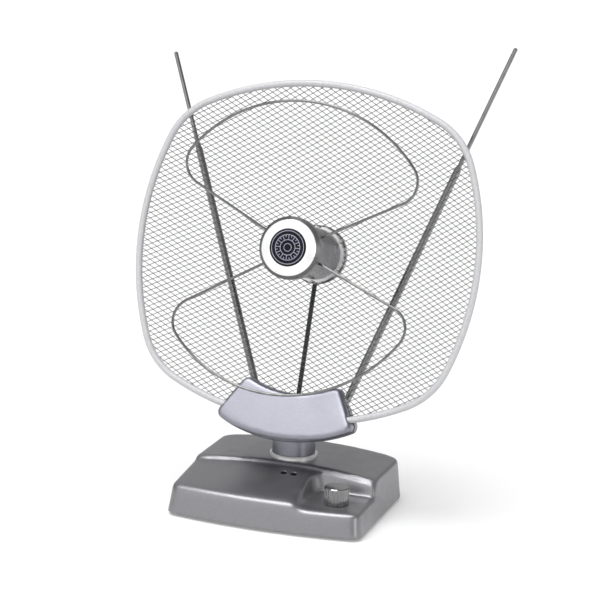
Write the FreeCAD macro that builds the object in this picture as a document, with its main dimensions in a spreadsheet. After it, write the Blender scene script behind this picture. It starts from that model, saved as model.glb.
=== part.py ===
import FreeCAD, Part
import math
import os
from FreeCAD import Placement, Rotation, Vector

# Indoor television antenna: a wire-mesh reflector on a swivelling saddle, two wire loops on a
# hub, two telescopic rods behind the reflector, and an amplifier base with a gain knob.
# Millimetres. +Z is up, -Y is the front. The reflector has a frame of its own: X across,
# Y up along its plane and Z out of its front.

SIZES = {
    "joint_gap": 0.3,
    "fit_gap": 0.1,
    "running_gap": 0.05,
    "base_forward": 20.0,
    # Base housing
    "base_width": 165.0,
    "base_depth": 128.5,
    "base_front_bulge": 8.4,
    "base_rear_bulge": 3.0,
    "base_corner": 9.0,
    "base_flare": 2.6,
    "base_wall": 2.4,
    "base_edge_round": 3.0,
    "ridge_y": -10.0,
    "deck_front_z": 24.2,
    "deck_front_crown": 1.0,
    "deck_back_z": 33.4,
    "deck_back_crown": 5.2,
    "rear_deck_z": 36.8,
    "rear_deck_crown": 5.5,
    "rear_deck_fall": 1.1,
    "notch_x": 31.0,
    "notch_y": -16.5,
    "notch_floor_z": 23.2,
    "notch_corner": 12.0,
    "notch_draft": 18.0,
    "notch_cove": 2.0,
    "post_side_inset": 10.5,
    "post_end_inset": 34.25,
    "post_radius": 4.2,
    "plate_thickness": 2.0,
    "foot_height": 1.8,
    "foot_radius": 7.0,
    "foot_side_inset": 12.5,
    "foot_end_inset": 10.25,
    "foot_peg_radius": 2.2,
    "screw_radius": 1.3,
    "screw_head_radius": 2.7,
    "screw_head_height": 1.3,
    "screw_length": 11.0,
    # Amplifier
    "board_left": -17.0,
    "board_right": 66.0,
    "board_front": -57.0,
    "board_back": 2.0,
    "board_z": 12.0,
    "board_thickness": 1.6,
    "board_post_inset": 4.5,
    "board_post_radius": 3.0,
    "board_peg_radius": 1.2,
    "knob_x": 57.0,
    "knob_y": -42.5,
    "knob_radius": 10.5,
    "knob_height": 14.5,
    "knob_wall": 2.2,
    "knob_top": 2.5,
    "knob_boss_radius": 4.8,
    "knob_flutes": 30,
    "flute_radius": 0.75,
    "shaft_radius": 3.0,
    "shaft_engagement": 9.0,
    "bushing_radius": 3.6,
    "bushing_height": 3.0,
    "pot_radius": 8.5,
    "led_x": 3.0,
    "led_y": -20.3,
    "led_spacing": 8.8,
    "led_radius": 2.5,
    "led_length": 5.0,
    "led_proud": 0.4,
    "led_leg_radius": 0.3,
    "led_leg_spacing": 1.27,
    "socket_x": -26.0,
    "jack_x": 26.0,
    "socket_z": 18.0,
    "socket_thread_radius": 4.7,
    "socket_thread_length": 10.0,
    "socket_flange_radius": 7.0,
    "socket_flange_thickness": 2.0,
    "socket_body_length": 12.0,
    "socket_wall": 1.0,
    "socket_pin_radius": 0.6,
    "socket_pin_recess": 1.0,
    "jack_bore_radius": 2.8,
    "jack_sleeve_radius": 4.3,
    "jack_depth": 12.0,
    "jack_pin_radius": 1.0,
    "jack_pin_recess": 1.0,
    "jack_case_wall": 1.0,
    # Swivel
    "swivel_y": 14.0,
    "ring_radius": 20.5,
    "ring_height": 3.4,
    "ring_chamfer": 1.0,
    "ring_seat_z": 41.9,
    "spindle_radius": 8.0,
    "spindle_bore": 5.0,
    "spindle_bottom_z": 27.5,
    "boss_radius": 13.0,
    "boss_bottom_z": 33.0,
    "nut_radius": 12.5,
    "nut_height": 3.6,
    "neck_radius": 18.5,
    "neck_top_z": 66.0,
    "neck_roof": 4.0,
    # Reflector
    "panel_tilt": 15.0,
    "panel_y": 22.9,
    "saddle_bottom_z": 62.685,
    "rim_half_width": 152.2,
    "rim_half_height": 145.5,
    "rim_side_arc": 238.4,
    "rim_top_arc": 239.2,
    "rim_corner_arc": 64.0,
    "rim_wire_radius": 2.9,
    "dish_depth": 34.0,
    "dish_corner_lift": 0.825,
    "mesh_thickness": 1.2,
    "mesh_cell_width": 38.0,
    "mesh_cell_height": 37.2,
    "mesh_strand": 2.0,
    "mesh_least_gap": 47.0,
    # Hub
    "hub_radius": 22.0,
    "hub_wall": 2.4,
    "hub_front_n": 36.0,
    "hub_spigot": 4.0,
    "hub_floor": 2.5,
    "flange_radius": 24.0,
    "flange_length": 5.0,
    "flange_slots": 6,
    "flange_slot_width": 4.0,
    "flange_slot_depth": 1.5,
    "cap_radius": 26.3,
    "cap_length": 12.0,
    "cap_nose": 3.0,
    "cap_rear_bevel": 1.5,
    "cap_front_bevel": 2.0,
    "cap_shoulder": 1.0,
    "cap_lip": 1.0,
    "cap_bevel_radius": 23.0,
    "emblem_radius": 15.7,
    "emblem_recess": 3.0,
    "emblem_proud": 0.6,
    "cover_radius": 25.5,
    "cover_length": 7.0,
    "cover_dome": 2.5,
    "hub_screw_radius": 2.0,
    "hub_screw_head": 4.0,
    "hub_screw_head_height": 2.0,
    "hub_screw_bevel": 1.0,
    "balun_n": 25.0,
    "balun_thickness": 1.6,
    # Wire loops
    "loop_n": 33.2,
    "loop_lean": 7.5,
    "loop_radius": 122.8,
    "loop_spoke_angle": 27.4,
    "loop_corner": 19.5,
    "loop_inner_radius": 13.0,
    "loop_wire_radius": 1.15,
    "lower_loop_turn": 4.2,
    "terminal_side": 6.5,
    "terminal_height": 11.0,
    "terminal_overhang": 2.0,
    # Saddle
    "saddle_centre_v": -38.0,
    "saddle_inner_radius": 82.0,
    "saddle_outer_radius": 123.0,
    "saddle_half_angle": 30.0,
    "saddle_corner": 6.5,
    "saddle_bottom_n": 14.0,
    "saddle_top_n": -2.0,
    "saddle_part_n": -9.0,
    "saddle_flange_n": -17.0,
    "saddle_edge_round": 2.0,
    "saddle_lip": 5.5,
    "pod_half_angle": 25.5,
    "pod_inset": 2.0,
    "pod_corner": 8.0,
    "saddle_screw_angle": 27.0,
    "saddle_screw_inset": 8.1,
    "saddle_screw_bite": 5.5,
    "rib_root": 1.0,
    # Telescopic rods
    "rod_pivot_h": 35.5,
    "rod_pivot_v": -135.0,
    "rod_plane_n": -40.0,
    "rod_left_angle": 21.6,
    "rod_right_angle": 19.3,
    "rod_left_reach": 88.0,
    "rod_right_reach": 113.0,
    "lug_radius": 6.0,
    "pivot_screw_radius": 2.0,
    "pivot_head_radius": 4.2,
    "pivot_head_height": 2.2,
    "pivot_head_bevel": 1.0,
    "pivot_screw_grip": 12.0,
    "knuckle_radius": 4.2,
    "knuckle_length": 18.0,
    "tube_start": 10.0,
    "tube_end": 233.0,
    "tube_one_radius": 3.1,
    "tube_two_radius": 2.45,
    "tube_three_radius": 1.85,
    "tube_four_radius": 1.25,
    "tube_wall": 0.35,
    "crimp_length": 3.0,
    "flare_length": 5.0,
    "section_show": 3.0,
    "section_length": 212.0,
    "tip_length": 4.0,
    "tip_radius": 1.85,
    "tip_bevel": 1.0,
    # Feeder
    "cable_radius": 2.0,
    "cable_top_v": -18.0,
    "cable_top_n": -38.6,
    "cable_bottom_v": -127.0,
    "cable_bottom_n": -29.5,
}

doc = FreeCAD.newDocument("indoor_antenna")
sheet = doc.addObject("Spreadsheet::Sheet", "sizes")
for row, (name, value) in enumerate(SIZES.items(), start=1):
    sheet.set("A%d" % row, name)
    sheet.set("B%d" % row, str(value))
    sheet.setAlias("B%d" % row, name)
doc.recompute()

X_AXIS = Vector(1, 0, 0)
Y_AXIS = Vector(0, 1, 0)
Z_AXIS = Vector(0, 0, 1)
FAR = 400.0
TINY = 0.01
FINE = 0.0001
parts = []


def size(name):
    return float(sheet.get(name))


BASE = Placement(Vector(0, -size("base_forward"), 0), Rotation())
saddle_drop = size("saddle_outer_radius") - size("saddle_centre_v")
panel_z = size("saddle_bottom_z") + saddle_drop * math.cos(math.radians(size("panel_tilt")))
PANEL_ORIGIN = Vector(0, size("panel_y") - size("base_forward"), panel_z)
PANEL = Placement(PANEL_ORIGIN, Rotation(X_AXIS, 90 - size("panel_tilt")))


def primitive(kind, name, at=None, turn=None, **bindings):
    """A Part primitive whose properties follow the sheet."""
    item = doc.addObject("Part::" + kind, name)
    if turn is not None:
        item.Placement = Placement(Vector(), turn)
    for prop, formula in bindings.items():
        item.setExpression(prop, formula)
    for axis, formula in zip("xyz", at or ()):
        item.setExpression("Placement.Base." + axis, formula)
    return item


def cylinder(name, radius, height, at=None, turn=None):
    return primitive("Cylinder", name, at, turn, Radius=radius, Height=height)


def fuse(name, *items):
    joined = doc.addObject("Part::MultiFuse", name)
    joined.Shapes = list(items)
    return joined


def cut(name, base, *tools):
    result = doc.addObject("Part::Cut", name)
    result.Base = base
    result.Tool = tools[0] if len(tools) == 1 else fuse(name + "_tools", *tools)
    return result


def feature(name, shape):
    """A solid whose shape is worked out here from the sheet."""
    item = doc.addObject("Part::Feature", name)
    item.Shape = shape
    return item


def sub_part(item, label, placement=None):
    """Names a finished piece and puts it in its place."""
    item.Label = label
    if placement is not None:
        item.Placement = placement
    parts.append(item)
    return item


def arc(first, middle, last):
    return Part.Arc(first, middle, last).toShape()


def prism(wire, low, high):
    face = Part.Face(wire)
    face.translate(Vector(0, 0, low))
    return face.extrude(Vector(0, 0, high - low))


def turned(points):
    """A solid of revolution about Z from (radius, height) corners."""
    corners = [Vector(radius, 0, height) for radius, height in points]
    face = Part.Face(Part.makePolygon(corners + corners[:1]))
    return face.revolve(Vector(), Z_AXIS, 360)


def polar(radius, degrees, centre=Vector()):
    angle = math.radians(degrees)
    return centre + Vector(radius * math.cos(angle), radius * math.sin(angle), 0)


# Base housing

plate_low = size("foot_height")
plate_high = plate_low + size("plate_thickness")
base_roof = 2 * (size("rear_deck_z") + size("rear_deck_crown"))


def bowed_outline(inset, spread=0.0):
    """The base's plan: straight sides, bowed front and rear, rounded corners.

    The spread moves the front and the sides outwards and leaves the rear."""
    side = size("base_width") / 2 - inset + spread
    end = size("base_depth") / 2 - inset
    near = -end - spread
    front = Vector(0, near - size("base_front_bulge"), 0)
    rear = Vector(0, end + size("base_rear_bulge"), 0)
    corners = [Vector(-side, near, 0), Vector(side, near, 0), Vector(side, end, 0), Vector(-side, end, 0)]
    wire = Part.Wire([
        arc(corners[0], front, corners[1]),
        Part.makeLine(corners[1], corners[2]),
        arc(corners[2], rear, corners[3]),
        Part.makeLine(corners[3], corners[0]),
    ])
    solid = prism(wire, 0, 1)
    upright = [edge for edge in solid.Edges if abs(edge.tangentAt(edge.FirstParameter).z) > 0.99]
    rounded = solid.makeFillet(size("base_corner") - inset, upright)
    bottom = [face for face in rounded.Faces if face.BoundBox.ZMax < 0.01]
    return bottom[0].OuterWire


def arched_section(y, side_z, crown):
    """An upright section, open to the sky, whose lower edge is arched across the base."""
    half = size("base_width") / 2
    left = Vector(-half, y, side_z)
    right = Vector(half, y, side_z)
    lift = Vector(0, 0, FAR)
    return Part.Wire([
        arc(left, Vector(0, y, side_z + crown), right),
        Part.makeLine(right, right + lift),
        Part.makeLine(right + lift, left + lift),
        Part.makeLine(left + lift, left),
    ])


def above_front_deck(inset):
    front_y = -size("base_depth") / 2 - 2 * size("base_front_bulge")
    ridge_y = size("ridge_y") + inset
    front = arched_section(front_y, size("deck_front_z") - inset, size("deck_front_crown"))
    back = arched_section(ridge_y, size("deck_back_z") - inset, size("deck_back_crown"))
    return Part.makeLoft([front, back], True, True)


def above_rear_deck(inset):
    reach = size("base_depth")
    fall = size("rear_deck_fall")
    side_z = size("rear_deck_z") - inset
    front = arched_section(-reach, side_z + fall, size("rear_deck_crown"))
    back = arched_section(reach, side_z - fall, size("rear_deck_crown"))
    return Part.makeLoft([front, back], True, True)


def knob_notch(inset):
    """The level corner that the knob stands in, open to the front and the right."""
    left = size("notch_x") - inset
    back = size("notch_y") + inset
    round_off = size("notch_corner") + inset
    floor_z = size("notch_floor_z") - inset
    flare = math.tan(math.radians(size("notch_draft")))
    rise = size("rear_deck_z") + size("rear_deck_crown") - floor_z

    def outline(z):
        grow = flare * (z - floor_z)
        low = Vector(left - grow, -size("base_depth"), z)
        corner = Vector(left - grow, back + grow, z)
        high = Vector(size("base_width"), back + grow, z)
        far = Vector(size("base_width"), -size("base_depth"), z)
        begin = corner - Vector(0, round_off, 0)
        end = corner + Vector(round_off, 0, 0)
        middle = corner + Vector(round_off, -round_off, 0) * (1 - math.sqrt(0.5))
        return Part.Wire([
            Part.makeLine(low, begin),
            arc(begin, middle, end),
            Part.makeLine(end, high),
            Part.makeLine(high, far),
            Part.makeLine(far, low),
        ])

    return Part.makeLoft([outline(floor_z), outline(floor_z + rise)], True, True)


def wall_spread(z):
    """How far the front and the sides stand out at a height, going by the front deck's."""
    rim_z = size("deck_front_z")
    return size("base_flare") * (rim_z - z) / (rim_z - size("foot_height"))


def flared_block(inset):
    """The base's walls before the decks are cut: wider at the foot than at the top."""
    rings = []
    for z in (size("foot_height"), base_roof):
        ring = bowed_outline(inset, wall_spread(z))
        ring.translate(Vector(0, 0, z))
        rings.append(ring)
    return Part.makeLoft(rings, True, True)


def base_block(inset):
    """The base's outer form, with every face drawn in by the inset."""
    block = flared_block(inset)
    return block.cut([above_rear_deck(inset), above_front_deck(inset), knob_notch(inset)])


def rounded_block():
    """The outer form with its rims and its ridge rounded, and a cove round the notch's floor."""
    block = base_block(0)
    walls = [face for face in flared_block(0).Faces if face.BoundBox.ZLength > TINY]
    outline = Part.makeCompound(walls)
    floor_z = size("notch_floor_z")
    past_corner = size("base_width") / 2 - size("base_corner")

    def from_wall(edge):
        middle = edge.valueAt((edge.FirstParameter + edge.LastParameter) / 2)
        return outline.distToShape(Part.Vertex(middle))[0]

    def at_floor(edge):
        return abs(edge.BoundBox.ZMin - floor_z) + edge.BoundBox.ZLength < TINY

    rims = []
    for edge in block.Edges:
        box = edge.BoundBox
        level = box.ZLength < max(box.XLength, box.YLength)
        beside_notch = at_floor(edge) and box.XMax > past_corner and box.XLength < past_corner / 2
        on_rim = from_wall(edge) < TINY and level and box.ZMin > plate_high and not beside_notch
        in_ridge = box.YLength < TINY and abs(box.YMax - size("ridge_y")) < TINY
        ridge_top = in_ridge and (not level or box.ZMin > size("rear_deck_z"))
        if on_rim or ridge_top:
            rims.append(edge)
    block = block.makeFillet(size("base_edge_round"), rims)
    clear = 2 * size("base_edge_round")
    coves = [edge for edge in block.Edges if at_floor(edge) and from_wall(edge) > clear]
    return block.makeFillet(size("notch_cove"), coves)


def upright_cylinder(radius, low, high, x=0.0, y=0.0):
    return Part.makeCylinder(radius, high - low, Vector(x, y, low))


def post_places():
    x = size("base_width") / 2 - size("post_side_inset")
    y = size("base_depth") / 2 - size("post_end_inset")
    return [(sx * x, sy * y) for sx in (-1, 1) for sy in (-1, 1)]


def led_places():
    return [(size("led_x") + step * size("led_spacing"), size("led_y")) for step in (0, 1)]


def rear_wall_y(x):
    """Where the bowed rear wall's outside lies at a given x."""
    half = size("base_width") / 2
    bulge = size("base_rear_bulge")
    radius = (half ** 2 + bulge ** 2) / (2 * bulge)
    return size("base_depth") / 2 + bulge - radius + math.sqrt(radius ** 2 - x ** 2)


def rear_hole(x, radius, from_y):
    """A hole or seat out through the rear wall."""
    return Part.makeCylinder(radius, FAR, Vector(x, from_y, size("socket_z")), Y_AXIS)


def front_deck_z(y):
    """Height of the front deck on the base's centre line."""
    front_y = -size("base_depth") / 2 - 2 * size("base_front_bulge")
    front_z = size("deck_front_z") + size("deck_front_crown")
    back_z = size("deck_back_z") + size("deck_back_crown")
    return front_z + (back_z - front_z) * (y - front_y) / (size("ridge_y") - front_y)


def make_housing():
    wall = size("base_wall")
    gap = size("fit_gap")
    outer = rounded_block()
    inner = base_block(wall)
    core = base_block(wall / 2)
    posts = [upright_cylinder(size("post_radius"), plate_high, base_roof, x, y) for x, y in post_places()]
    boss = upright_cylinder(size("boss_radius"), size("boss_bottom_z"), base_roof, 0, size("swivel_y"))
    shell = outer.cut(inner).fuse([piece.common(core) for piece in posts + [boss]])
    spindle_hole = size("spindle_radius") + size("running_gap")
    tools = [
        upright_cylinder(size("ring_radius") + gap, size("ring_seat_z"), base_roof, 0, size("swivel_y")),
        upright_cylinder(spindle_hole, 0, base_roof, 0, size("swivel_y")),
        upright_cylinder(size("bushing_radius") + gap, 0, base_roof, size("knob_x"), size("knob_y")),
    ]
    for x, y in post_places():
        tools.append(upright_cylinder(size("screw_radius") + gap, 0, plate_high + size("screw_length"), x, y))
    for x, y in led_places():
        tools.append(upright_cylinder(size("led_radius") + gap, 0, base_roof, x, y))
    socket_x, jack_x = size("socket_x"), size("jack_x")
    tools += [
        rear_hole(socket_x, size("socket_thread_radius") + gap, 0),
        rear_hole(socket_x, size("socket_flange_radius") + gap, rear_wall_y(socket_x)),
        rear_hole(jack_x, size("jack_sleeve_radius") + gap, 0),
    ]
    housing = shell.cut(tools).removeSplitter()
    housing.fix(FINE, FINE, TINY)
    return housing


sub_part(feature("housing", make_housing()), "base_housing", BASE)


# Bottom plate, feet and screws


def foot_place(sx, sy):
    x = size("base_width") / 2 - size("foot_side_inset")
    y = size("base_depth") / 2 - size("foot_end_inset")
    return Vector(sx * x, sy * y, 0)


def board_post_places():
    inset = size("board_post_inset")
    across = (size("board_left") + inset, size("board_right") - inset)
    along = (size("board_front") + inset, size("board_back") - inset)
    return [(x, y) for x in across for y in along]


def make_bottom_plate():
    gap = size("fit_gap")
    plate = prism(bowed_outline(size("base_wall") + gap, wall_spread(plate_high)), plate_low, plate_high)
    stakes = []
    for x, y in board_post_places():
        stakes.append(upright_cylinder(size("board_post_radius"), plate_low, size("board_z"), x, y))
        peg_top = size("board_z") + size("board_thickness") + size("joint_gap")
        stakes.append(upright_cylinder(size("board_peg_radius"), plate_low, peg_top, x, y))
    tools = []
    for x, y in post_places():
        tools.append(upright_cylinder(size("screw_radius") + gap, 0, plate_high, x, y))
        head_top = plate_low + size("screw_head_height")
        tools.append(upright_cylinder(size("screw_head_radius") + gap, 0, head_top, x, y))
    for sx, sy in FOOT_NAMES:
        peg = foot_place(sx, sy)
        hole = size("foot_peg_radius") + size("running_gap")
        tools.append(upright_cylinder(hole, 0, plate_high, peg.x, peg.y))
    return plate.fuse(stakes).cut(tools).removeSplitter()


FOOT_NAMES = {(-1, -1): "front_left", (1, -1): "front_right", (-1, 1): "rear_left", (1, 1): "rear_right"}

sub_part(feature("plate", make_bottom_plate()), "bottom_plate", BASE)

for (sx, sy), corner_name in FOOT_NAMES.items():
    pad = cylinder("pad_" + corner_name, "sizes.foot_radius", "sizes.foot_height")
    peg = cylinder("peg_" + corner_name, "sizes.foot_peg_radius", "sizes.foot_height + sizes.plate_thickness")
    foot = fuse("foot_body_" + corner_name, pad, peg)
    sub_part(foot, "foot_" + corner_name, Placement(BASE.Base + foot_place(sx, sy), Rotation()))


def make_bottom_screws():
    screws = []
    for x, y in post_places():
        head_top = plate_low + size("screw_head_height")
        head = upright_cylinder(size("screw_head_radius"), plate_low, head_top, x, y)
        shank = upright_cylinder(size("screw_radius"), plate_low, plate_low + size("screw_length"), x, y)
        screws.append(head.fuse(shank).removeSplitter())
    return Part.makeCompound(screws)


sub_part(feature("screws_below", make_bottom_screws()), "bottom_screws", BASE)


# Amplifier board, potentiometer, lamps and sockets

board_top = size("board_z") + size("board_thickness")


def make_board():
    board = Part.makeBox(
        size("board_right") - size("board_left"),
        size("board_back") - size("board_front"),
        size("board_thickness"),
        Vector(size("board_left"), size("board_front"), size("board_z")),
    )
    hole = size("board_peg_radius") + size("fit_gap")
    return board.cut([upright_cylinder(hole, 0, FAR, x, y) for x, y in board_post_places()])


sub_part(feature("board", make_board()), "amplifier_board", BASE)

floor_top = size("notch_floor_z")
knob_spot = Placement(BASE.Base + Vector(size("knob_x"), size("knob_y"), 0), Rotation())

pot_can = cylinder(
    "pot_can", "sizes.pot_radius",
    "sizes.notch_floor_z - sizes.base_wall - sizes.board_z - sizes.board_thickness",
    ("0", "0", "sizes.board_z + sizes.board_thickness"),
)
pot_bushing = cylinder(
    "pot_bushing", "sizes.bushing_radius",
    "sizes.notch_floor_z + sizes.bushing_height - sizes.board_z - sizes.board_thickness",
    ("0", "0", "sizes.board_z + sizes.board_thickness"),
)
pot_bore = cylinder(
    "pot_bore", "sizes.shaft_radius + sizes.running_gap", "sizes.notch_floor_z + sizes.bushing_height",
    ("0", "0", "sizes.board_z + 2 * sizes.board_thickness"),
)
pot = cut("pot", fuse("pot_body", pot_can, pot_bushing), pot_bore)
sub_part(pot, "gain_potentiometer", knob_spot)

shaft = cylinder(
    "shaft", "sizes.shaft_radius",
    "sizes.notch_floor_z + sizes.bushing_height + sizes.shaft_engagement"
    " - sizes.board_z - 2 * sizes.board_thickness - sizes.joint_gap",
    (
        "sizes.knob_x", "sizes.knob_y - sizes.base_forward",
        "sizes.board_z + 2 * sizes.board_thickness + sizes.joint_gap",
    ),
)
sub_part(shaft, "potentiometer_shaft")


def make_knob():
    low = floor_top + size("joint_gap")
    high = low + size("knob_height")
    radius = size("knob_radius")
    chamfer = size("flute_radius")
    body = turned([
        (0, low), (radius, low), (radius, high - chamfer), (radius - chamfer, high), (0, high),
    ])
    hollow_top = high - size("knob_top")
    hollow = upright_cylinder(radius - size("knob_wall"), low, hollow_top)
    boss_low = floor_top + size("bushing_height") + size("joint_gap")
    boss = upright_cylinder(size("knob_boss_radius"), boss_low, hollow_top)
    shaft_top = floor_top + size("bushing_height") + size("shaft_engagement")
    bore = upright_cylinder(size("shaft_radius"), low, shaft_top)
    flutes = []
    count = int(size("knob_flutes"))
    for step in range(count):
        place = polar(radius + size("flute_radius") / 3, 360 * step / count)
        flutes.append(upright_cylinder(size("flute_radius"), low, high - 2 * chamfer, place.x, place.y))
    return body.cut(hollow).fuse(boss).cut([bore] + flutes).removeSplitter()


sub_part(feature("knob", make_knob()), "gain_knob", knob_spot)


def make_led(x, y):
    top = front_deck_z(y) + size("led_proud")
    low = top - size("led_length")
    lens = upright_cylinder(size("led_radius"), low, top - size("led_radius") / 2, x, y)
    dome = Part.makeSphere(size("led_radius"), Vector(x, y, top - size("led_radius")))
    dome = dome.common(upright_cylinder(size("led_radius"), top - size("led_radius"), top, x, y))
    legs = []
    for side in (-1, 1):
        leg_x = x + side * size("led_leg_spacing") / 2
        legs.append(upright_cylinder(size("led_leg_radius"), board_top, low + size("led_radius"), leg_x, y))
    return lens.fuse([dome] + legs).removeSplitter()


for led_name, (led_x, led_y) in zip(("power_lamp", "signal_lamp"), led_places()):
    sub_part(feature(led_name + "_body", make_led(led_x, led_y)), led_name, BASE)


def rear_place(x):
    """A frame on the rear wall whose Z points out of the back."""
    spot = BASE.Base + Vector(x, rear_wall_y(x), size("socket_z"))
    return Placement(spot, Rotation(X_AXIS, -90))


def make_coax_socket():
    thread = size("socket_thread_radius")
    out = size("socket_flange_thickness") + size("socket_thread_length")
    body = turned([
        (0, -size("socket_body_length")), (thread, -size("socket_body_length")), (thread, 0),
        (size("socket_flange_radius"), 0), (size("socket_flange_radius"), size("socket_flange_thickness")),
        (thread, size("socket_flange_thickness")), (thread, out), (0, out),
    ])
    well = upright_cylinder(thread - size("socket_wall"), size("socket_flange_thickness"), out)
    pin_out = out - size("socket_pin_recess")
    pin = upright_cylinder(size("socket_pin_radius"), size("socket_flange_thickness"), pin_out)
    return body.cut(well).fuse(pin).removeSplitter()


def make_power_jack():
    depth = size("jack_depth")
    sleeve = size("jack_sleeve_radius")
    body = upright_cylinder(sleeve, -depth, 0)
    half = sleeve + size("jack_case_wall")
    block = Part.makeBox(2 * half, 2 * half, depth - size("base_wall") - size("joint_gap"))
    block.translate(Vector(-half, -half, -depth))
    bore = upright_cylinder(size("jack_bore_radius"), -depth + size("base_wall"), 0)
    pin = upright_cylinder(size("jack_pin_radius"), -depth, -size("jack_pin_recess"))
    return body.fuse(block).cut(bore).fuse(pin).removeSplitter()


sub_part(feature("coax", make_coax_socket()), "coax_socket", rear_place(size("socket_x")))
sub_part(feature("jack", make_power_jack()), "power_jack", rear_place(size("jack_x")))


# Swivel

swivel_spot = Placement(BASE.Base + Vector(0, size("swivel_y"), 0), Rotation())
ring_top = size("ring_seat_z") + size("ring_height")
neck_low = ring_top + size("joint_gap")


def make_ring():
    radius = size("ring_radius")
    bore = size("spindle_radius") + size("joint_gap")
    chamfer = size("ring_chamfer")
    return turned([
        (bore, size("ring_seat_z")), (radius, size("ring_seat_z")), (radius, ring_top - chamfer),
        (radius - chamfer, ring_top), (bore, ring_top),
    ])


def make_nut():
    top = size("boss_bottom_z") - size("joint_gap")
    corners = [polar(size("nut_radius"), 60 * step) for step in range(7)]
    nut = prism(Part.makePolygon(corners), top - size("nut_height"), top)
    return nut.cut(upright_cylinder(size("spindle_radius"), 0, FAR))


sub_part(feature("ring", make_ring()), "swivel_ring", swivel_spot)
sub_part(feature("nut", make_nut()), "swivel_nut", swivel_spot)


# Reflector rim and mesh


def rim_outline(inset):
    """Eight tangent arcs: bowed sides, bowed top and bottom, round corners."""
    half_width = size("rim_half_width") - inset
    half_height = size("rim_half_height") - inset
    side = size("rim_side_arc") - inset
    top = size("rim_top_arc") - inset
    corner = size("rim_corner_arc") - inset
    side_centre = Vector(half_width - side, 0, 0)
    top_centre = Vector(0, half_height - top, 0)
    apart = (top_centre - side_centre).Length
    to_side = side - corner
    to_top = top - corner
    along = (apart ** 2 + to_side ** 2 - to_top ** 2) / (2 * apart)
    off = math.sqrt(to_side ** 2 - along ** 2)
    line = (top_centre - side_centre).normalize()
    centre = side_centre + line * along + Vector(-line.y, line.x, 0) * off
    on_side = centre + (centre - side_centre).normalize() * corner
    on_top = centre + (centre - top_centre).normalize() * corner
    on_corner = centre + ((on_side - centre) + (on_top - centre)).normalize() * corner

    def flip(point, sx, sy):
        return Vector(point.x * sx, point.y * sy, 0)

    edges = []
    for sx, sy in ((1, 1), (-1, 1), (-1, -1), (1, -1)):
        first, last = (on_side, on_top) if sx * sy > 0 else (on_top, on_side)
        edges.append(arc(flip(first, sx, sy), flip(on_corner, sx, sy), flip(last, sx, sy)))
        if sx * sy > 0:
            edges.append(arc(flip(on_top, sx, sy), Vector(0, sy * half_height, 0), flip(on_top, -sx, sy)))
        else:
            edges.append(arc(flip(on_side, sx, sy), Vector(sx * half_width, 0, 0), flip(on_side, sx, -sy)))
    return Part.Wire(edges)


def tube_along(path, radius):
    """A round bar that follows a path of lines and tangent arcs."""
    first = path.OrderedEdges[0]
    start = first.valueAt(first.FirstParameter)
    direction = first.tangentAt(first.FirstParameter)
    if first.Orientation == "Reversed":
        start = first.valueAt(first.LastParameter)
        direction = first.tangentAt(first.LastParameter)
    section = Part.Wire(Part.makeCircle(radius, start, direction))
    return path.makePipeShell([section], True, True)


def make_rim(grow=0.0):
    return tube_along(rim_outline(size("rim_wire_radius")), size("rim_wire_radius") + grow)


def rim_band(half_width, low, high):
    """A flat band along the rim's centre line."""
    middle = size("rim_wire_radius")
    outer = prism(rim_outline(middle - half_width), low, high)
    return outer.cut(prism(rim_outline(middle + half_width), low, high))


def dish_surface():
    """A dish whose height is a product of parabolas, in the reflector's own x and y."""
    reach_x = size("rim_half_width")
    reach_y = size("rim_half_height")
    flat_x = reach_x - size("rim_wire_radius")
    flat_y = reach_y - size("rim_wire_radius")
    depth = size("dish_depth")
    lift = size("dish_corner_lift")

    def weights(reach, flat):
        """Bezier heights of 1 and of (t / flat) squared over -reach to reach."""
        edge = (reach / flat) ** 2
        return (1.0, 1.0, 1.0), (edge, -edge, edge)

    one_x, square_x = weights(reach_x, flat_x)
    one_y, square_y = weights(reach_y, flat_y)
    poles = []
    for i, x in enumerate((-reach_x, 0, reach_x)):
        row = []
        for j, y in enumerate((-reach_y, 0, reach_y)):
            height = one_x[i] * one_y[j] - square_x[i] * one_y[j] - one_x[i] * square_y[j]
            row.append(Vector(x, y, -depth * (height + lift * square_x[i] * square_y[j])))
        poles.append(row)
    surface = Part.BSplineSurface()
    surface.buildFromPolesMultsKnots(
        poles, [3, 3], [3, 3], [-reach_x, reach_x], [-reach_y, reach_y], False, False, 2, 2,
    )
    return surface


def saddle_sector(inner, outer, half_angle, low, high):
    """A curved block about the saddle's own centre, below the reflector."""
    centre = Vector(0, size("saddle_centre_v"), 0)
    first = -90 - half_angle
    last = -90 + half_angle
    wire = Part.Wire([
        arc(polar(outer, first, centre), polar(outer, -90, centre), polar(outer, last, centre)),
        Part.makeLine(polar(outer, last, centre), polar(inner, last, centre)),
        arc(polar(inner, last, centre), polar(inner, -90, centre), polar(inner, first, centre)),
        Part.makeLine(polar(inner, first, centre), polar(outer, first, centre)),
    ])
    return prism(wire, low, high)


def saddle_block(grow, low, high):
    return saddle_sector(
        size("saddle_inner_radius") - grow, size("saddle_outer_radius") + grow,
        size("saddle_half_angle") + math.degrees(grow / size("saddle_outer_radius")), low, high,
    )


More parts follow.
